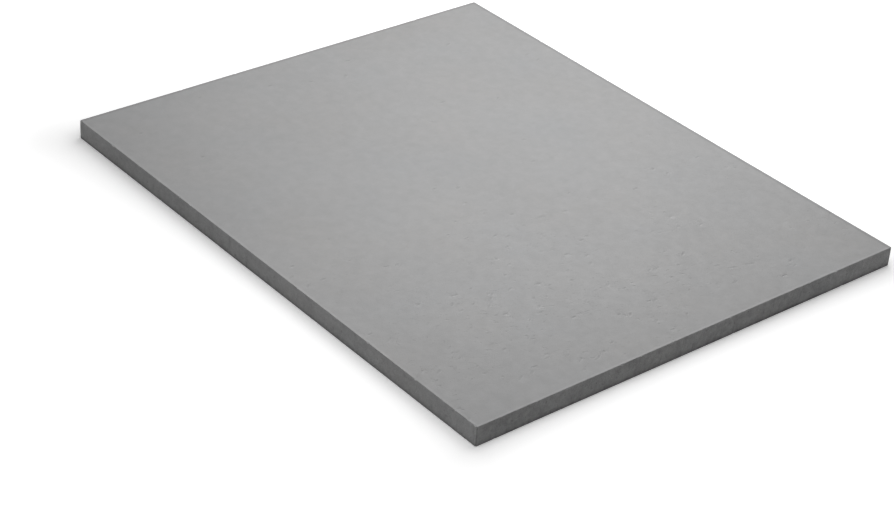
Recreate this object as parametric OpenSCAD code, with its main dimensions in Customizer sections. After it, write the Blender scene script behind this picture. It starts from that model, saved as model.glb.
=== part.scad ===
// Calcium silicate board: one solid sheet, sawn square on all four edges.
// Millimetres, +Z up. The origin is the middle of the underside, and X runs along the length.

/* [Sheet] */
// Length of the sheet, along X
sheet_length = 1220; // [300:5:3000]
// Width of the sheet, along Y
sheet_width = 1000; // [200:5:1500]
// Thickness of the sheet
sheet_thickness = 40; // [15:1:120]

/* [Worn edges] */
// Radius rubbed onto the arrises between a face and a sawn edge
arris_radius = 1.5; // [0.5:0.1:4]
// What handling has added to that radius at the four upright corners
corner_wear = 1; // [0.5:0.1:6]

/* [Hidden] */
$fn = 48;

corner_radius = arris_radius + corner_wear;
// Distances from the middle of the sheet to the axes on which its upright corners are turned.
corner_x = sheet_length / 2 - corner_radius;
corner_y = sheet_width / 2 - corner_radius;

// Upright section of a sheet of that breadth, standing on its underside, with its four arrises rounded.
module section(breadth) {
    flat = breadth - 2 * arris_radius;
    side = sheet_thickness - 2 * arris_radius;
    for (x = [-flat / 2, flat / 2], y = [arris_radius, arris_radius + side])
        translate([x, y])
            circle(r = arris_radius);
    translate([-breadth / 2, arris_radius])
        square([breadth, side]);
    translate([-flat / 2, 0])
        square([flat, sheet_thickness]);
}

// A stretch of sheet of that breadth, along X, drawn out along Y.
module stretch(breadth, run) {
    rotate([90, 0, 0])
        linear_extrude(height = run, center = true)
            section(breadth);
}

// One upright corner, turned about Z, so that the arrises follow it round.
module corner() {
    rotate_extrude()
        intersection() {
            section(2 * corner_radius);
            square([corner_radius, sheet_thickness]);
        }
}

// The whole sheet: two stretches that cross, closed by the four corners.
module board() {
    color([0.65, 0.65, 0.65]) {
        stretch(sheet_length, 2 * corner_y);
        rotate([0, 0, 90])
            stretch(sheet_width, 2 * corner_x);
        for (x = [-corner_x, corner_x], y = [-corner_y, corner_y])
            translate([x, y, 0])
                corner();
    }
}

board();
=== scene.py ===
"""Calcium silicate board: the dressed sheet, the floor it lies on, the lamps and the camera.

Metres, +Z up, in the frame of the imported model: the origin is the middle of the underside, and X runs
along the sheet. The sheet is one closed mesh. Geometry Nodes draw the plain sheet and sink into it the
marks of its making: the grooves, dents and pinholes of the pressed faces, the torn places, pores and
scores of the sawn edges, and the crumbs that handling has taken off the arrises.
"""

import math
from dataclasses import dataclass

import bpy
from mathutils import Matrix, Vector


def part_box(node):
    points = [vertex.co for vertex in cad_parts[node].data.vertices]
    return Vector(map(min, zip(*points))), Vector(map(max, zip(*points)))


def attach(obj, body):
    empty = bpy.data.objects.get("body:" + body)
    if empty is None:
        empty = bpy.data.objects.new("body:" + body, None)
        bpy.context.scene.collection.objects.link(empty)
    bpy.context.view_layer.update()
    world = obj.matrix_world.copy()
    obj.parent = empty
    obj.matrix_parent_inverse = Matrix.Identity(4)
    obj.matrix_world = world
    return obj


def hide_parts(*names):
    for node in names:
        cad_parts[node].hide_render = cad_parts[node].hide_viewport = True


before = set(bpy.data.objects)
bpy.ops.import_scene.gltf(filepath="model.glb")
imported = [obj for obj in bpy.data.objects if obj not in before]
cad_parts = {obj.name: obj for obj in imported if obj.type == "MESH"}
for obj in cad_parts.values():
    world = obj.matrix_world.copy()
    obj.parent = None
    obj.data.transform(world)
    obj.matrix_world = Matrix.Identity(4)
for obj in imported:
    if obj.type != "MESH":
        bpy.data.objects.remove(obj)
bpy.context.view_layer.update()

MM = 0.001

# The sheet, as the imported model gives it.
low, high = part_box("board")
SIZE = high - low
ARRIS_RADIUS = 1.5 * MM
CORNER_RADIUS = 2.5 * MM

# The grid that the plain sheet is drawn on.
CELL = 16 * MM  # on the faces
ROW = 6 * MM  # up the sawn edges
EDGE_LINE = 0.5 * MM  # between the lines that go round an arris

# The faces and sawn edges lie a little below true.
UNEVENNESS = 0.22 * MM
UNEVEN_LENGTH = 0.16
SWELL_RANGE = 0.2, 0.8  # of the noise, from true to the full unevenness

HARD_TURN = 0.6  # radians: a sharper turn of the surface is shaded as a hard line
TINY = 1e-9  # keeps a divisor off 0
SEED = 11

# The camera.
AZIMUTH, ELEVATION, ROLL = 48.89, 32.0, 4.1
AIM = Vector((0.1889, -0.2223, 0.04))
DISTANCE = 4.1172
LENS = 92.32
SENSOR = 36.0

# The lamps: where each hangs, how wide its square face is, and its watts.
LAMPS = {
    "key_softbox": ((-0.19, 0.38, 1.0), 1.72, 15.55),
    "near_softbox": ((0.4, -0.1, 0.9), 0.6, 1.20),
    "fill_softbox": ((0.53, -0.8, 1.14), 0.8, 4.05),
}
ROOM_LIGHT = 0.142  # from all round

# The floor.
FLOOR_HALF = 12.0
FLOOR_GREY = 0.7  # as the sheet sees it
FLOOR_GLOW = 0.25, 1.0  # close to the sheet, and far from it
GLOW_GROWS = 0.02, 0.38  # between these distances from the sheet
GLOW_STRETCH = 1.25, 1.0, 0.0  # past the sheet's ends it grows in a shorter distance


# ---------------------------------------------------------------- node trees


def feed(tree, socket, value):
    """Links a socket or a field to that input, or sets a plain value on it."""
    value = getattr(value, "socket", value)
    if isinstance(value, bpy.types.NodeSocket):
        tree.links.new(value, socket)
    else:
        socket.default_value = value


def node(tree, kind, inputs=None, **settings):
    """A new node. inputs maps the name or number of a socket to what goes into it."""
    made = tree.nodes.new(kind)
    for key, value in settings.items():
        setattr(made, key, value)
    for key, value in (inputs or {}).items():
        feed(tree, made.inputs[key], value)
    return made


class Field:
    """An output of a node tree that can stand in sums. A vector field works on each axis."""

    def __init__(self, tree, socket):
        self.tree = tree
        self.socket = socket
        self.is_vector = socket.type in ("VECTOR", "RGBA")

    def sum(self, operation, *others):
        """This field and the others put through one Math node, or Vector Math where any is a vector."""
        vectors = self.is_vector or any(getattr(o, "is_vector", isinstance(o, tuple)) for o in others)
        made = self.tree.nodes.new("ShaderNodeVectorMath" if vectors else "ShaderNodeMath")
        made.operation = operation
        for socket, value in zip(made.inputs, (self, *others)):
            if vectors and isinstance(value, (int, float)):
                value = (value,) * 3
            feed(self.tree, socket, value)
        return Field(self.tree, made.outputs["Value" if operation == "LENGTH" else 0])

    def __add__(self, other):
        return self.sum("ADD", other)

    def __sub__(self, other):
        return self.sum("SUBTRACT", other)

    def __mul__(self, other):
        return self.sum("MULTIPLY", other)

    def __truediv__(self, other):
        return self.sum("DIVIDE", other)

    def at_most(self, other):
        return self.sum("MINIMUM", other)

    def at_least(self, other):
        return self.sum("MAXIMUM", other)

    def above(self, other):
        """1 where this number is over the other, and 0 elsewhere."""
        return self.sum("GREATER_THAN", other)

    def size(self):
        return self.sum("ABSOLUTE")

    def sign(self):
        return self.sum("SIGN")

    def length(self):
        return self.sum("LENGTH")

    def opposite(self):
        """1 where this number is 0, and 0 where it is 1."""
        return self * -1.0 + 1.0

    def between(self, at_0, at_1):
        """The first value where this number is 0, passing to the second where it is 1."""
        return self * (at_1 - at_0) + at_0

    def parts(self):
        """The X, Y and Z of a vector."""
        made = node(self.tree, "ShaderNodeSeparateXYZ", {0: self})
        return [Field(self.tree, socket) for socket in made.outputs]

    def ramp(self, start, end):
        """A smooth step from 0 at start to 1 at end."""
        made = node(self.tree, "ShaderNodeMapRange", {0: self, 1: start, 2: end})
        made.interpolation_type = "SMOOTHSTEP"
        return Field(self.tree, made.outputs[0])


def vector(tree, x, y, z):
    """A vector put together from three numbers."""
    return Field(tree, node(tree, "ShaderNodeCombineXYZ", {0: x, 1: y, 2: z}).outputs[0])


def noise(tree, place, scale=1.0, detail=2.0, roughness=0.5):
    """Smooth noise from 0 to 1, with its mean at a half. The scale is in patches to the metre."""
    settings = {"Vector": place, "Scale": scale, "Detail": detail, "Roughness": roughness}
    return Field(tree, node(tree, "ShaderNodeTexNoise", settings).outputs[0])


def swing(tree, place, amount, **settings):
    """Smooth noise about zero, that amount from end to end."""
    return (noise(tree, place, **settings) - 0.5) * amount


def position(tree):
    """Where each point of a mesh is, in a Geometry Nodes tree."""
    return Field(tree, node(tree, "GeometryNodeInputPosition").outputs[0])


def facing(tree):
    """The way that each point or face of a mesh faces, in a Geometry Nodes tree."""
    return Field(tree, node(tree, "GeometryNodeInputNormal").outputs[0])


def named(tree, geometry, name, value):
    """The same geometry, with a number kept under that name on each of its faces."""
    kept = {"Geometry": geometry, "Name": name, "Value": value}
    settings = {"data_type": "FLOAT", "domain": "FACE"}
    return node(tree, "GeometryNodeStoreNamedAttribute", kept, **settings).outputs[0]


# ---------------------------------------------------------------- the plain sheet


def plain_sheet(tree, size, arris, corner, cells):
    """A closed grid over the sheet, with lines EDGE_LINE apart near its edges, drawn round onto them."""
    lines = [round(radius / EDGE_LINE) for radius in (CORNER_RADIUS, CORNER_RADIUS, ARRIS_RADIUS)]
    counts = [count + 2 * more for count, more in zip(cells, lines)]
    points = {number: count + 1 for number, count in enumerate(counts, 1)}
    cube = node(tree, "GeometryNodeMeshCube", {"Size": size, **points})
    start = position(tree)
    side = start.sign()

    # Lines of the grid counted from the middle, and where each one goes.
    steps = (start.size() / size) * tuple(float(count) for count in counts)
    inner_steps = tuple(count / 2 for count in cells)
    edge_band = tuple(more * EDGE_LINE for more in lines)
    inner_pitch = (size * 0.5 - edge_band) / inner_steps
    place = steps.at_most(inner_steps) * inner_pitch + (steps - inner_steps).at_least(0.0) * EDGE_LINE

    # The upright corners: past the core of the plan, square rings become round ones.
    x, y, z = place.parts()
    half_x, half_y, half_z = (size * 0.5).parts()
    past_x = (x - (half_x - corner)).at_least(0.0)
    past_y = (y - (half_y - corner)).at_least(0.0)
    reach = past_x.at_least(past_y)
    outward = vector(tree, past_x, past_y, 0.0).sum("NORMALIZE")

    # The arrises: the same between the plan's reach and the height.
    over = (reach - (corner - arris)).at_least(0.0)
    up = (z - (half_z - arris)).at_least(0.0)
    turn = over.at_least(up) / vector(tree, over, up, 0.0).length().at_least(TINY)
    reach = reach - over + over * turn
    z = z - up + up * turn
    place = vector(tree, x - past_x, y - past_y, z) + outward * reach

    raised = vector(tree, 0.0, 0.0, half_z)
    moved = {"Geometry": cube.outputs["Mesh"], "Position": place * side + raised}
    return node(tree, "GeometryNodeSetPosition", moved).outputs[0]


def uneven(tree, sheet, depth, seed):
    """The faces and sawn edges sink a little below true, in long shallow swells."""
    normal = facing(tree)
    swell = noise(tree, position(tree) + (float(seed), 0.0, 0.0), scale=1 / UNEVEN_LENGTH, detail=1.0)
    moved = {"Geometry": sheet, "Offset": normal * (swell.ramp(*SWELL_RANGE) * depth * -1.0)}
    return node(tree, "GeometryNodeSetPosition", moved).outputs[0]


# ---------------------------------------------------------------- the tools that cut the marks

GRAIN_LIFT = 0.23  # a grain sits this high, so that none of its corners lies in the surface
DIMPLE_LIFT = 0.15  # a dimple's rim stands proud by this share of its depth
DIMPLE_GRID = {"Vertices": 14, "Side Segments": 1, "Fill Segments": 3}
LIT_WALL_RANGE = 0.05, 0.55  # along a dimple's X, from none of its painted highlight to all of it
VERSION_STEP = 7.3  # through the noise, from one version of a shape to the next


def grit(tree, shift, level=1, bulge=0.8):
    """An uneven grain of about unit radius."""
    place = position(tree)
    growth = noise(tree, place + (shift, 0.0, 0.0), scale=1.1, detail=3.0, roughness=0.6) - 0.5
    ball = node(tree, "GeometryNodeMeshIcoSphere", {"Radius": 1.0, "Subdivisions": level})
    grown = {"Geometry": ball.outputs[0], "Offset": place * (growth * bulge) + (0.0, 0.0, GRAIN_LIFT)}
    return node(tree, "GeometryNodeSetPosition", grown).outputs[0]


def lump(tree, shift):
    """A grain with more faces, for marks that are large enough to show them."""
    return grit(tree, shift, level=2, bulge=0.9)


def dimple(tree, shift):
    """A plug whose underside bulges by one unit and runs out level at its rim, for soft-edged marks.

    Its faces keep a number, lit_wall, that is 1 on the side where its X is high, for a painted highlight on
    that wall.
    """
    place = position(tree)
    x, y, z = place.parts()
    from_middle = vector(tree, x, y, 0.0).length()
    bell = (from_middle * from_middle).opposite()
    under = bell * bell * -(1.0 + DIMPLE_LIFT) + DIMPLE_LIFT
    stretch = noise(tree, place * (1.0, 1.0, 0.0) + (shift, 0.0, 0.0), scale=0.9, detail=1.0) + 0.5
    sizes = {"Radius": 1.0, "Depth": 2.0, **DIMPLE_GRID}
    plug = node(tree, "GeometryNodeMeshCylinder", sizes, fill_type="TRIANGLE_FAN")
    height = under + under.opposite() * z.above(0.0)
    shaped = {"Geometry": plug.outputs[0], "Position": vector(tree, x * stretch, y * stretch, height)}
    formed = node(tree, "GeometryNodeSetPosition", shaped).outputs[0]
    return named(tree, formed, "lit_wall", position(tree).parts()[0].ramp(*LIT_WALL_RANGE))


def versions(tree, count, shape, mark):
    """Several versions of a shape, as instances to pick from. Its faces carry the mark's name."""
    every = node(tree, "GeometryNodeJoinGeometry")
    for version in range(count):
        cutter = named(tree, shape(tree, VERSION_STEP * version), mark, 1.0)
        single = node(tree, "GeometryNodeGeometryToInstance", {0: cutter})
        tree.links.new(single.outputs[0], every.inputs[0])
    return every.outputs[0]


# ---------------------------------------------------------------- the marks


@dataclass
class Mark:
    """A kind of mark, in metres. Where a value is a pair of numbers, each mark draws its own between them."""

    half_width: object
    per_area: float  # the most to the square metre
    gap: float  # the least distance between two
    small_ones: bool = False  # whether most are near the least half width
    half_length: object = None
    stretch: object = 1.0  # the half length in half widths, where half_length is None
    depth: object = None
    sink: object = 1.0  # the depth in half widths, where depth is None
    turn: object = 0.0  # radians from the way that the marks lie
    lift: float = 0.0  # how far out of the surface the tool is held, in half widths


ANY_WAY = 0.0, 6.28

GROOVE = Mark(
    half_width=(3.0 * MM, 5.4 * MM),
    half_length=(5.0 * MM, 9.5 * MM),
    depth=(0.45 * MM, 0.95 * MM),
    per_area=340.0,
    gap=16 * MM,
    turn=(-0.25, 0.75),
)
DENT = Mark(
    half_width=(1.6 * MM, 4.0 * MM),
    small_ones=True,
    stretch=(1.2, 2.4),
    sink=(0.16, 0.26),
    per_area=260.0,
    gap=12 * MM,
    turn=(-0.3, 0.8),
)
PINHOLE = Mark(
    half_width=(0.25 * MM, 0.70 * MM),
    small_ones=True,
    stretch=(1.0, 2.2),
    sink=0.6,
    per_area=260.0,
    gap=7 * MM,
    turn=ANY_WAY,
)
TORN_PLACE = Mark(
    half_width=(0.6 * MM, 3.2 * MM),
    small_ones=True,
    stretch=(0.6, 1.6),
    depth=(0.20 * MM, 0.55 * MM),
    per_area=2200.0,
    gap=5 * MM,
    turn=ANY_WAY,
)
PORE = Mark(
    half_width=(0.25 * MM, 0.80 * MM),
    small_ones=True,
    per_area=2600.0,
    gap=4 * MM,
    turn=ANY_WAY,
)
SAW_SCORE = Mark(
    half_width=(0.4 * MM, 1.0 * MM),
    half_length=(5.0 * MM, 16.0 * MM),
    depth=(0.10 * MM, 0.20 * MM),
    per_area=700.0,
    gap=12 * MM,
    turn=(-0.12, 0.12),
)
BITE = Mark(
    half_width=(1.3 * MM, 3.7 * MM),
    small_ones=True,
    stretch=(1.0, 2.6),
    per_area=16000.0,
    gap=9 * MM,
    turn=(-0.3, 0.3),
    lift=0.42,
)
NICK = Mark(
    half_width=(0.6 * MM, 1.5 * MM),
    stretch=(1.0, 2.0),
    per_area=50000.0,
    gap=3 * MM,
    turn=(-0.3, 0.3),
    lift=0.36,
)
CORNER_NICK = Mark(
    half_width=(0.6 * MM, 1.6 * MM),
    stretch=(1.0, 2.4),
    per_area=30000.0,
    gap=4 * MM,
    turn=(-0.3, 0.3),
    lift=0.36,
)
TIP_BRUISE = Mark(
    half_width=(1.8 * MM, 3.4 * MM),
    per_area=4e6,  # enough for every tip, however small, and the gap leaves one on each
    gap=20 * MM,
    lift=0.30,
)

# The ways that marks lie.
ACROSS = (0.0, 1.0, 0.0)
UPRIGHT = (0.0, 0.0, 1.0)
ALONG_ARRIS = "along the arris"

# The parts of the sheet are told apart by how much the surface faces each axis, from 0 to 1.
FACE_UP = 0.99  # the faces face up or down by more than this
EDGE_UP = 0.1  # the sawn edges face up or down by this or less
CORNER_BOTH = 0.25  # the upright corners face both X and Y by more than this

# The faces are rough in patches, and more so towards +X.
PATCH_SCALE = 7.0
PATCH_RANGE = 0.34, 0.60
WORSE_RANGE = -0.2, 0.95  # from the best end to the worse one, in half lengths from the middle
ROUGH_AT_BEST = 0.08  # the worse end has 1
PINHOLES_AT_BEST = 0.4

LARGE_VERSIONS = 6
SMALL_VERSIONS = 5
LAST_DRAWN = 99  # the number drawn to pick a version goes from 0 to this, and wraps round


class Strewer:
    """Strews cutting shapes over the sheet and gathers them as instances."""

    def __init__(self, tree, sheet, seed):
        self.tree = tree
        self.sheet = sheet
        self.seed = seed
        self.gathered = node(tree, "GeometryNodeJoinGeometry")

    def draw(self, amount):
        """The amount itself, or a number drawn afresh for each mark where it is a range."""
        if not isinstance(amount, tuple):
            return amount
        self.seed += 1
        least, most = amount
        wanted = {2: least, 3: most, "Seed": self.seed}
        made = node(self.tree, "FunctionNodeRandomValue", wanted, data_type="FLOAT")
        return Field(self.tree, made.outputs[1])

    def draw_sizes(self, mark):
        """The half width, half length and depth of each mark of that kind."""
        if mark.small_ones:
            least, most = mark.half_width
            share = self.draw((0.0, 1.0))
            width = (share * share * share).between(least, most)
        else:
            width = self.draw(mark.half_width)
        length = self.draw(mark.half_length) if mark.half_length else width * self.draw(mark.stretch)
        depth = self.draw(mark.depth) if mark.depth else width * self.draw(mark.sink)
        return width, length, depth

    def scatter(self, where, share, mark):
        """Points on those faces of the sheet, up to the mark's count times the share of them."""
        chosen = {"Geometry": self.sheet, "Selection": where}
        only = node(self.tree, "GeometryNodeSeparateGeometry", chosen, domain="FACE")
        spread = {
            "Mesh": only.outputs["Selection"],
            "Distance Min": mark.gap,
            "Density Max": mark.per_area,
            "Density Factor": share,
            "Seed": self.seed,
        }
        method = "GeometryNodeDistributePointsOnFaces"
        return node(self.tree, method, spread, distribute_method="POISSON").outputs

    def turned(self, out, along, turn):
        """The turn that stands a tool's Z out of the surface and lays its Y along, give or take turn."""
        tree = self.tree
        if along == ALONG_ARRIS:
            along = out.sum("CROSS_PRODUCT", UPRIGHT)
        upright = node(tree, "FunctionNodeAxesToRotation", {0: out, 1: along}, primary_axis="Z")
        upright.secondary_axis = "Y"
        euler = node(tree, "FunctionNodeEulerToRotation", {0: vector(tree, 0.0, 0.0, turn)})
        twist = {"Rotation": upright.outputs[0], "Rotate By": euler.outputs[0]}
        return node(tree, "FunctionNodeRotateRotation", twist, rotation_space="LOCAL").outputs[0]

    def strew(self, shapes, where, share, mark, along):
        """Marks of one kind, cut with those shapes into those faces of the sheet."""
        tree = self.tree
        width, length, depth = self.draw_sizes(mark)
        turn = self.draw(mark.turn)
        self.seed += 2
        points = self.scatter(where, share, mark)
        out = Field(tree, points["Normal"])
        any_of_them = {4: 0, 5: LAST_DRAWN, "Seed": self.seed - 1}
        pick = node(tree, "FunctionNodeRandomValue", any_of_them, data_type="INT")
        raised = {"Geometry": points["Points"], "Offset": out * (width * mark.lift)}
        placed = {
            "Points": node(tree, "GeometryNodeSetPosition", raised).outputs[0],
            "Instance": shapes,
            "Pick Instance": True,
            "Instance Index": pick.outputs[2],
            "Rotation": self.turned(out, along, turn),
            "Scale": vector(tree, width, length, depth),
        }
        made = node(tree, "GeometryNodeInstanceOnPoints", placed)
        tree.links.new(made.outputs[0], self.gathered.inputs[0])


def pressing(tree, place, half_length):
    """How rough each spot of the faces is, and how near it is to the worse end, both from 0 to 1."""
    worse_end = (place.parts()[0] / half_length).ramp(*WORSE_RANGE)
    patches = noise(tree, place, scale=PATCH_SCALE).ramp(*PATCH_RANGE)
    return patches * worse_end.between(ROUGH_AT_BEST, 1.0), worse_end


def sink_marks(tree, sheet, half_length, seed):
    """Everything that is sunk into the sheet, as instances."""
    out_x, out_y, lie = facing(tree).size().parts()
    turning = out_x.at_most(out_y).above(CORNER_BOTH)
    on_face = lie.above(FACE_UP)
    on_edge = lie.above(EDGE_UP).opposite()
    on_arris = (on_face + on_edge).opposite()
    on_corner = on_edge * turning
    on_tip = on_arris * turning
    rough, worse_end = pressing(tree, position(tree), half_length)
    all_over = worse_end.between(PINHOLES_AT_BEST, 1.0)

    dimples = versions(tree, LARGE_VERSIONS, dimple, "dent")
    lumps = versions(tree, LARGE_VERSIONS, lump, "pluck")
    grits = versions(tree, SMALL_VERSIONS, grit, "pluck")
    chip_lumps = versions(tree, LARGE_VERSIONS, lump, "chip")
    chip_grits = versions(tree, SMALL_VERSIONS, grit, "chip")

    marks = (
        (dimples, on_face, rough, GROOVE, ACROSS),
        (dimples, on_face, rough, DENT, ACROSS),
        (grits, on_face, all_over, PINHOLE, ACROSS),
        (lumps, on_edge, 1.0, TORN_PLACE, UPRIGHT),
        (grits, on_edge, 1.0, PORE, UPRIGHT),
        (lumps, on_edge, 1.0, SAW_SCORE, UPRIGHT),
        (chip_lumps, on_arris, 1.0, BITE, ALONG_ARRIS),
        (chip_grits, on_arris, 1.0, NICK, ALONG_ARRIS),
        (chip_grits, on_corner, 1.0, CORNER_NICK, UPRIGHT),
        (chip_lumps, on_tip, 1.0, TIP_BRUISE, ALONG_ARRIS),
    )
    strewer = Strewer(tree, sheet, seed)
    for shapes, where, share, mark, along in marks:
        strewer.strew(shapes, where, share, mark, along)
    return strewer.gathered.outputs[0]


# ---------------------------------------------------------------- the whole sheet


def smoothed(tree, sheet):
    """Smooth shading, with a hard line wherever the surface turns sharply."""
    turn = node(tree, "GeometryNodeInputMeshEdgeAngle").outputs[0]
    gentle = node(tree, "FunctionNodeCompare", {0: turn, 1: HARD_TURN}, operation="LESS_THAN")
    faces = node(tree, "GeometryNodeSetShadeSmooth", {0: sheet, "Shade Smooth": True}, domain="FACE")
    edges = {0: faces.outputs[0], "Shade Smooth": gentle.outputs[0]}
    return node(tree, "GeometryNodeSetShadeSmooth", edges, domain="EDGE").outputs[0]


def sheet_tree(finish):
    """The tree that makes the whole sheet, and a value for each of its inputs."""
    tree = bpy.data.node_groups.new("silicate_sheet", "GeometryNodeTree")
    tree.interface.new_socket("Geometry", in_out="OUTPUT", socket_type="NodeSocketGeometry")
    wanted = (
        ("Size", "NodeSocketVector", tuple(SIZE)),
        ("Arris radius", "NodeSocketFloat", ARRIS_RADIUS),
        ("Corner radius", "NodeSocketFloat", CORNER_RADIUS),
        ("Unevenness", "NodeSocketFloat", UNEVENNESS),
        ("Finish", "NodeSocketMaterial", finish),
    )
    values = {}
    for name, socket_type, value in wanted:
        socket = tree.interface.new_socket(name, in_out="INPUT", socket_type=socket_type)
        values[socket.identifier] = value
    given = node(tree, "NodeGroupInput").outputs
    size, arris, corner = [Field(tree, given[name]) for name in ("Size", "Arris radius", "Corner radius")]

    cells = [2 * round(side / cell / 2) for side, cell in zip(SIZE, (CELL, CELL, ROW))]
    sheet = plain_sheet(tree, size, arris, corner, cells)
    sheet = uneven(tree, sheet, given["Unevenness"], SEED)
    cut = node(tree, "GeometryNodeMeshBoolean", operation="DIFFERENCE", solver="MANIFOLD")
    tree.links.new(sheet, cut.inputs["Mesh 1"])
    tree.links.new(sink_marks(tree, sheet, size.parts()[0] * 0.5, SEED), cut.inputs["Mesh 2"])
    real = node(tree, "GeometryNodeRealizeInstances", {0: smoothed(tree, cut.outputs["Mesh"])})
    dressed = node(tree, "GeometryNodeSetMaterial", {0: real.outputs[0], "Material": given["Finish"]})
    tree.links.new(dressed.outputs[0], node(tree, "NodeGroupOutput").inputs[0])
    return tree, values


def make_sheet(finish):
    """Runs the tree once and keeps what it makes as a plain mesh."""
    tree, values = sheet_tree(finish)
    holder = bpy.data.objects.new("sheet_maker", bpy.data.meshes.new("sheet_maker"))
    bpy.context.scene.collection.objects.link(holder)
    maker = holder.modifiers.new("maker", "NODES")
    maker.node_group = tree
    for identifier, value in values.items():
        maker[identifier] = value
    mesh = bpy.data.meshes.new_from_object(holder.evaluated_get(bpy.context.evaluated_depsgraph_get()))
    bpy.data.objects.remove(holder)
    mesh.name = "silicate_sheet"
    made = bpy.data.objects.new("silicate_sheet", mesh)
    bpy.context.scene.collection.objects.link(made)
    return made


# ---------------------------------------------------------------- the finish

BOARD_GREY = 0.408, 0.407, 0.408
MATT = 0.82, 0.94  # roughness, from the least to the most
MATT_SCALE = 50.0
SAWN_UP = 0.92, 0.55  # how much the surface faces up, from the pressed finish to the sawn one

# Layers of tone. scale is in patches to the metre, and amount the shift from the darkest to the palest.
CLOUDS = {"scale": 4.0, "amount": 0.08}
SPECKLE = {"scale": 1500.0, "amount": 0.16, "detail": 3.0, "roughness": 0.7}
FLECKS = {"scale": 450.0, "amount": 0.05, "roughness": 0.6}
FELT = {"amount": 0.045, "detail": 3.0}
SAW_SMEARS = {"amount": 0.04, "detail": 3.0}
SAW_SWELL = {"scale": 5.5, "amount": 0.22, "detail": 1.0}
WARM_AND_COOL = {"scale": 6.0, "amount": (0.025, 0.0, -0.025)}

# Layers whose amount changes over the sheet: from its best end to its worse one, or from the sawn edges
# that face Y to those that face X.
FACE_MOTTLE = {"scale": 45.0, "detail": 4.0, "roughness": 0.65}
FACE_MOTTLE_AMOUNT = 0.20, 0.25
SAW_MOTTLE = {"scale": 90.0, "detail": 4.0, "roughness": 0.64}
SAW_MOTTLE_AMOUNT = 0.44, 0.74
SAW_CLOUDS = {"scale": 22.0}
SAW_CLOUDS_AMOUNT = 0.20, 0.40

# Layers drawn out one way: patches to the metre along X, Y and Z.
FELT_STRETCH = 420.0, 60.0, 420.0
DASH_STRETCH = 125.0, 60.0, 125.0
PRESS_STRETCH = 130.0, 80.0, 130.0
SMEARS_ROUND, SMEARS_UP = 150.0, 30.0

# Dashes that the press left, which drift a little from straight across.
DASH_DRIFT = {"scale": 9.0, "amount": (0.06, 0.0, 0.0), "detail": 1.0}
DASH_RANGE = 0.58, 0.76

# Packed grains of the sawn edges.
SAW_GRAIN_SCALE = 420.0
SAW_GRAIN_TONE = 0.10
SAW_GRAIN_SINK = 0.35 * MM

# Tone of the faces near the arrises, between these distances from a sawn edge.
HIGHLIGHT_BAND, HIGHLIGHT_TONE = (7 * MM, 3 * MM), (0.05, 0.15)  # a painted highlight along the arrises at +X and -Y
HIGHLIGHT_SCALE = 40.0
RIM_BAND, RIM_TONE = (10.5 * MM, 5 * MM), -0.14  # darker rims at -X and +Y

# Painted light and shade of the sawn edges, and a darker line down the upright corners: between these
# heights, or distances from an upright corner.
FOOT_SHADE_BAND, FOOT_SHADE_TONE = (13 * MM, 1 * MM), -0.17
FOOT_BAND, FOOT_TONE = (7 * MM, 2.5 * MM), (-0.16, -0.29)  # painted shade at the foot; the second at the more shaded ends
SHADED_END_X, SHADED_END_Y = (-0.42, -0.60), (0.05, 0.35)  # where the foot's painted shade deepens, on the sawn edges that face Y, and those that face X
TIP_BAND, TIP_TONE = (0.10, 0.02), 0.11
CORNER_BAND, CORNER_TONE = (0.12, 0.45), -0.24  # by how much the surface faces both X and Y

# Slow changes of painted light and shade, between these places on the sheet.
FACE_SHADE_Y, FACE_SHADE_X, FACE_SHADE_TONE = (-0.26, -0.50), (0.25, -0.45), -0.055  # painted shade of the faces, along their -Y side
PALE_X, PALE_X_TONE = (-0.42, -0.60), 0.085  # painted light on the sawn edges that face Y, towards -X
PALE_Y, PALE_Y_TONE = (0.20, 0.48), 0.13  # painted light on those that face X, towards +Y

# Where a layer starts in the noise. SWELL_SHIFT was searched for, out of thousands, so that the broad swells
# lie along the two near sawn edges as on the real sheet. TINT_SHIFT keeps its layer from repeating another.
SWELL_SHIFT = 17.7, 0.0, 28.7
TINT_SHIFT = 0.0, 3.0, 0.0

# Tones of the sawn edges and of what is sunk, against the faces.
SAWN_TONE = 0.89
END_TONE = -0.02  # more, on the sawn edges that face X
DASH_TONE = -0.07
# Dimples and plucked pits are darker inside, partly dust and partly painted shade; the +X wall of a dimple
# carries a painted highlight; chips are paler.
DENT_TONE, LIT_WALL_TONE, CHIP_TONE = -0.07, 0.14, 0.07
PLUCK_TONE, SAWN_PLUCK_TONE = -0.05, -0.13

# Relief.
GRAIN = {"scale": 600.0, "detail": 5.0, "roughness": 0.7}
GRAIN_RELIEF = 0.42 * MM
PRESS = {"detail": 3.0, "roughness": 0.55}
PRESS_RELIEF = 0.25 * MM, 0.67 * MM  # from the best end to the worse one
FELT_RELIEF = 1.2 * MM
DASH_RELIEF = -0.8 * MM


def kept(tree, name):
    """A number that the cut faces of the mesh keep."""
    return Field(tree, node(tree, "ShaderNodeAttribute", attribute_name=name).outputs["Fac"])


def arris_highlight_and_rims(tree, place):
    """A painted highlight along the arrises at +X and -Y, and darker rims at -X and +Y."""
    x, y, _ = place.parts()
    from_near_sides = (x * -1.0 + SIZE.x / 2).at_most(y + SIZE.y / 2)
    behind = (x + SIZE.x / 2).at_most(y * -1.0 + SIZE.y / 2)
    # A painted highlight on the faces along the +X and -Y arrises.
    highlight = from_near_sides.ramp(*HIGHLIGHT_BAND) * noise(tree, place, scale=HIGHLIGHT_SCALE).between(*HIGHLIGHT_TONE)
    return highlight + behind.ramp(*RIM_BAND) * RIM_TONE


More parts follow.
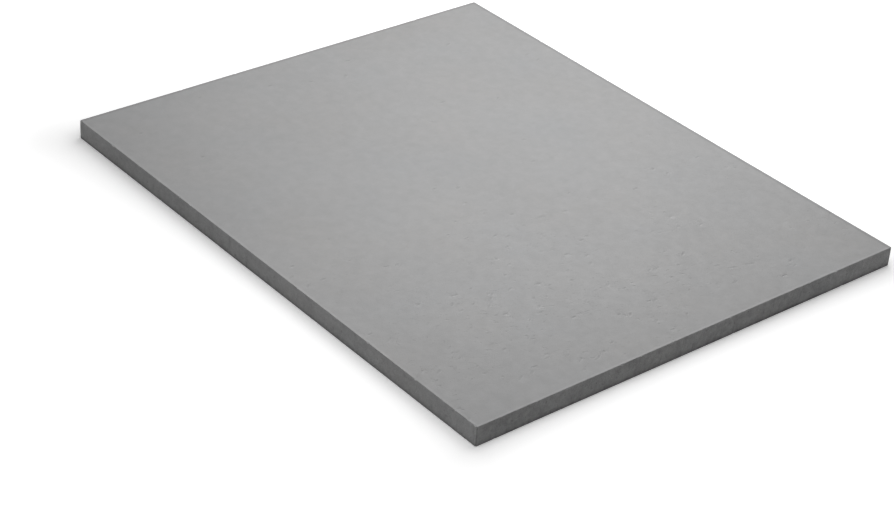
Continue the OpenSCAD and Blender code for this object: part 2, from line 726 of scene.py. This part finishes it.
def pressed_face(tree, place):
    """Tone and relief of the faces: clouds, mottle, felt marks that lie across, and short dashes."""
    x, y, _ = place.parts()
    rough, worse_end = pressing(tree, place, SIZE.x / 2)
    mottle = swing(tree, place, worse_end.between(*FACE_MOTTLE_AMOUNT), **FACE_MOTTLE)
    felt = swing(tree, place * FELT_STRETCH, **FELT)
    drift = place + swing(tree, place, **DASH_DRIFT)
    dashes = noise(tree, drift * DASH_STRETCH).ramp(*DASH_RANGE) * rough
    # Painted shade: the faces darken towards their -Y side.
    painted_side_shade = y.ramp(*FACE_SHADE_Y) * x.ramp(*FACE_SHADE_X) * FACE_SHADE_TONE
    layers = swing(tree, place, **CLOUDS) + mottle + felt + dashes * DASH_TONE
    # The tone also takes the painted arris highlight and the painted shade along the -Y side.
    tone = layers + arris_highlight_and_rims(tree, place) + painted_side_shade + 1.0

    press = noise(tree, place * PRESS_STRETCH, **PRESS) * worse_end.between(*PRESS_RELIEF)
    return tone, press + felt * FELT_RELIEF + dashes * DASH_RELIEF


def painted_edge_light(place, out_x, out_y):
    """Painted light: how much paler the sawn edges are near the upright corners, and towards -X and +Y."""
    x, y, _ = place.parts()
    from_corner = ((place.size() - tuple(SIZE / 2)) * (1.0, 1.0, 0.0)).length()
    # Painted light: the sawn edges that face Y are paler near the upright corners.
    tips = from_corner.ramp(*TIP_BAND) * out_y * TIP_TONE
    return tips + x.ramp(*PALE_X) * out_y * PALE_X_TONE + y.ramp(*PALE_Y) * out_x * PALE_Y_TONE


def foot_shade_and_corner_line(place, out_x, out_y):
    """How much darker painted shade makes the foot of the sawn edges, deeper at two ends, and how much darker
    the line down the upright corners is.
    """
    x, y, z = place.parts()
    shaded_ends = x.ramp(*SHADED_END_X) * out_y + y.ramp(*SHADED_END_Y) * out_x
    # Painted shade along the foot of the sawn edges, deeper at two ends.
    foot = z.ramp(*FOOT_SHADE_BAND) * FOOT_SHADE_TONE + z.ramp(*FOOT_BAND) * shaded_ends.between(*FOOT_TONE)
    return foot + out_x.at_most(out_y).ramp(*CORNER_BAND) * CORNER_TONE


def sawn_edge(tree, place, out_x, out_y):
    """Tone and relief of the sawn edges: packed grains, smears left upright by the saw, and mottle."""
    x, y, z = place.parts()
    grains = node(tree, "ShaderNodeTexVoronoi", {"Vector": place, "Scale": SAW_GRAIN_SCALE}).outputs
    from_middle = Field(tree, grains["Distance"])
    shade = Field(tree, grains["Color"]).parts()[0]
    grain_tone = (shade - from_middle) * SAW_GRAIN_TONE
    smears = swing(tree, vector(tree, (x + y) * SMEARS_ROUND, z * SMEARS_UP, 0.0), **SAW_SMEARS)
    mottle = swing(tree, place, out_x.between(*SAW_MOTTLE_AMOUNT), **SAW_MOTTLE)
    clouds = swing(tree, place, out_x.between(*SAW_CLOUDS_AMOUNT), **SAW_CLOUDS)
    swell = swing(tree, place + SWELL_SHIFT, **SAW_SWELL)
    # Painted light near the corners and ends, painted shade at the foot, and a darker line down the upright
    # corners.
    painted_light_and_shade = painted_edge_light(place, out_x, out_y) + foot_shade_and_corner_line(place, out_x, out_y)
    tone = swell + clouds + smears + mottle + grain_tone + painted_light_and_shade + out_x * END_TONE + SAWN_TONE
    return tone, (smears + mottle) * MM - from_middle * SAW_GRAIN_SINK


def sunk_tone(tree, sawn):
    """What the tone is multiplied by inside the marks: darker in dimples and plucked pits, partly dust and
    partly painted shade, a painted highlight on the +X wall of each dimple, and paler chips.
    """
    pluck = kept(tree, "pluck") * sawn.between(PLUCK_TONE, SAWN_PLUCK_TONE) + 1.0
    # Darker in each dimple, partly dust and partly painted shade, with a painted highlight on its +X wall.
    dent = kept(tree, "dent") * DENT_TONE + kept(tree, "lit_wall") * LIT_WALL_TONE + 1.0
    return pluck * dent * (kept(tree, "chip") * CHIP_TONE + 1.0)


def board_finish():
    """Matt grey calcium silicate: clouded, finely mottled faces and rougher, darker sawn edges."""
    finish = bpy.data.materials.new("calcium_silicate")
    finish.use_nodes = True
    tree = finish.node_tree
    tree.nodes.clear()
    coords = node(tree, "ShaderNodeTexCoord").outputs
    place = Field(tree, coords["Object"])
    out_x, out_y, lie = Field(tree, coords["Normal"]).size().parts()
    sawn = lie.ramp(*SAWN_UP)
    face_tone, face_relief = pressed_face(tree, place)
    edge_tone, edge_relief = sawn_edge(tree, place, out_x, out_y)

    tone = sawn.between(face_tone, edge_tone) + swing(tree, place, **SPECKLE) + swing(tree, place, **FLECKS)
    tint = swing(tree, place + TINT_SHIFT, **WARM_AND_COOL) + 1.0
    height = noise(tree, place, **GRAIN) * GRAIN_RELIEF + sawn.between(face_relief, edge_relief)
    bump = node(tree, "ShaderNodeBump", {"Strength": 1.0, "Distance": 1.0, "Height": height})
    surface = {
        "Base Color": tint * (tone * sunk_tone(tree, sawn)) * BOARD_GREY,
        "Roughness": noise(tree, place, scale=MATT_SCALE).between(*MATT),
        "Normal": bump.outputs[0],
        "Specular IOR Level": 0.3,
        "Diffuse Roughness": 0.5,
    }
    shader = node(tree, "ShaderNodeBsdfPrincipled", surface)
    tree.links.new(shader.outputs[0], node(tree, "ShaderNodeOutputMaterial").inputs["Surface"])
    return finish


# ---------------------------------------------------------------- the stage


def grey(level):
    """An opaque grey."""
    return (level, level, level, 1.0)


def seen_directly(tree):
    """1 for the rays that see the background itself: camera, glossy and transmission."""
    path = node(tree, "ShaderNodeLightPath").outputs
    camera = Field(tree, path["Is Camera Ray"])
    return camera.at_least(path["Is Glossy Ray"]).at_least(path["Is Transmission Ray"])


def choice(tree, otherwise, direct):
    """One shader for the rays that see the background itself, and the other for the rest."""
    shaders = {0: seen_directly(tree), 1: otherwise.outputs[0], 2: direct.outputs[0]}
    return node(tree, "ShaderNodeMixShader", shaders).outputs[0]


def floor_paint():
    """Plain grey to the sheet. Seen directly it glows, least near the sheet, so that its shadow stays."""
    paint = bpy.data.materials.new("floor_paint")
    paint.use_nodes = True
    tree = paint.node_tree
    tree.nodes.clear()
    spot = Field(tree, node(tree, "ShaderNodeTexCoord").outputs["Object"])
    outside = (spot.size() - (SIZE.x / 2, SIZE.y / 2, 0.0)).at_least(0.0) * GLOW_STRETCH
    strength = outside.length().ramp(*GLOW_GROWS).between(*FLOOR_GLOW)
    dull = node(tree, "ShaderNodeBsdfDiffuse", {"Color": grey(FLOOR_GREY)})
    pale = node(tree, "ShaderNodeBsdfDiffuse", {"Color": grey(1.0)})
    glow = node(tree, "ShaderNodeEmission", {"Color": grey(1.0), "Strength": strength})
    bright = node(tree, "ShaderNodeAddShader", {0: pale.outputs[0], 1: glow.outputs[0]})
    result = node(tree, "ShaderNodeOutputMaterial")
    tree.links.new(choice(tree, dull, bright), result.inputs["Surface"])
    return paint


def make_floor():
    """A wide pale floor."""
    mesh = bpy.data.meshes.new("floor")
    corners = [(x * FLOOR_HALF, y * FLOOR_HALF, 0.0) for x, y in ((-1, -1), (1, -1), (1, 1), (-1, 1))]
    mesh.from_pydata(corners, [], [(0, 1, 2, 3)])
    mesh.materials.append(floor_paint())
    floor = bpy.data.objects.new("floor", mesh)
    bpy.context.scene.collection.objects.link(floor)
    return floor


def make_world():
    """Even dim light from all round, with a white background behind everything."""
    world = bpy.data.worlds.new("studio")
    world.use_nodes = True
    tree = world.node_tree
    tree.nodes.clear()
    light = node(tree, "ShaderNodeBackground", {"Color": grey(1.0), "Strength": ROOM_LIGHT})
    white = node(tree, "ShaderNodeBackground", {"Color": grey(1.0), "Strength": 1.0})
    result = node(tree, "ShaderNodeOutputWorld")
    tree.links.new(choice(tree, light, white), result.inputs["Surface"])
    bpy.context.scene.world = world


def hang_softbox(name, place, width, watts):
    """A square lamp aimed at the middle of the sheet."""
    lamp = bpy.data.lights.new(name, "AREA")
    lamp.size = width
    lamp.energy = watts
    box = bpy.data.objects.new(name, lamp)
    box.location = place
    box.rotation_euler = (-Vector(place)).to_track_quat("-Z", "Y").to_euler()
    box.visible_camera = False
    bpy.context.scene.collection.objects.link(box)


def make_camera():
    """The camera, from where it looks and how far off it is."""
    lens = bpy.data.cameras.new("camera")
    lens.lens = LENS
    lens.sensor_width = SENSOR
    camera = bpy.data.objects.new("camera", lens)
    turn = Matrix.Rotation(math.radians(AZIMUTH), 4, "Z")
    tilt = Matrix.Rotation(math.radians(90 - ELEVATION), 4, "X")
    roll = Matrix.Rotation(math.radians(ROLL), 4, "Z")
    turned = turn @ tilt @ roll
    camera.matrix_world = Matrix.Translation(AIM + turned @ Vector((0, 0, DISTANCE))) @ turned
    bpy.context.scene.collection.objects.link(camera)
    bpy.context.scene.camera = camera


make_camera()
sheet = make_sheet(board_finish())
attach(sheet, "root")
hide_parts("board")

make_floor()
make_world()
for name, (place, width, watts) in LAMPS.items():
    hang_softbox(name, place, width, watts)
bpy.context.scene.view_settings.view_transform = "Standard"
